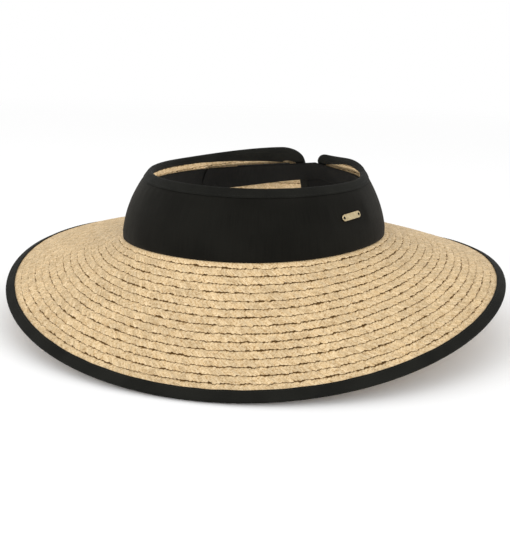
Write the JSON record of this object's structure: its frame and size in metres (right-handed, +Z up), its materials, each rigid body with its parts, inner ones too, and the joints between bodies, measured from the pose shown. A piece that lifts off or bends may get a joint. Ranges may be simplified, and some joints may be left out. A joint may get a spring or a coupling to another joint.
{
  "type": "sun visor",
  "caption": "Open-crown straw sun visor: sewn plait brim with a back slit, black fabric band, bound edges, small blank metal tab and a hook-and-loop closure strap.",
  "frame": {"origin": "centre of the head opening, in the plane where the crown wall meets the brim", "axes": "+Z up the crown, -Y the way the face looks, +X the wearer's left"},
  "size_m": [0.3541, 0.345, 0.1167],
  "materials": {
    "straw": "matt sewn paper-straw plait, warm tan",
    "black_cotton": "matt black cotton twill",
    "black_lining": "matt black woven lining",
    "black_binding": "matt black ribbed binding tape",
    "black_webbing": "black woven strap with stitched edges",
    "hook_tape": "black hook tape",
    "loop_tape": "black loop pile",
    "clear_boning": "milky nylon boning",
    "pale_gold": "satin pale gold",
    "black_thread": "black polyester thread"
  },
  "bodies": {
    "visor": {"brim_plait_01": "straw", "brim_plait_02": "straw", "brim_plait_03": "straw", "brim_plait_04": "straw", "brim_plait_05": "straw", "brim_plait_06": "straw", "brim_plait_07": "straw", "brim_plait_08": "straw", "brim_plait_09": "straw", "brim_plait_10": "straw", "brim_plait_11": "straw", "brim_plait_12": "straw", "brim_plait_13": "straw", "brim_plait_14": "straw", "brim_plait_15": "straw", "brim_plait_16": "straw", "brim_plait_17": "straw", "crown_plait_01": "straw", "crown_plait_02": "straw", "crown_plait_03": "straw", "crown_plait_04": "straw", "crown_plait_05": "straw", "crown_plait_06": "straw", "crown_plait_07": "straw", "crown_plait_08": "straw", "crown_plait_09": "straw", "headband": "black_cotton", "sweatband": "black_lining", "crown_binding": "black_binding", "brim_binding": "black_binding", "brim_wire": "clear_boning", "slit_underlap": "black_lining", "strap_root": "black_webbing", "wing_loop_tape": "loop_tape", "name_plate": "pale_gold", "plate_thread_front": "black_thread", "plate_thread_rear": "black_thread"},
    "strap": {"closure_strap": "black_webbing", "strap_hook_tape": "hook_tape"}
  },
  "joints": [
    {"name": "strap_hinge", "type": "hinge", "parent": "visor", "child": "strap", "pos_m": [0.00638, 0.08004, 0.03139], "axis": [-0.05, -0.5367, 0.8423], "range_deg": [0, 100]}
  ]
}
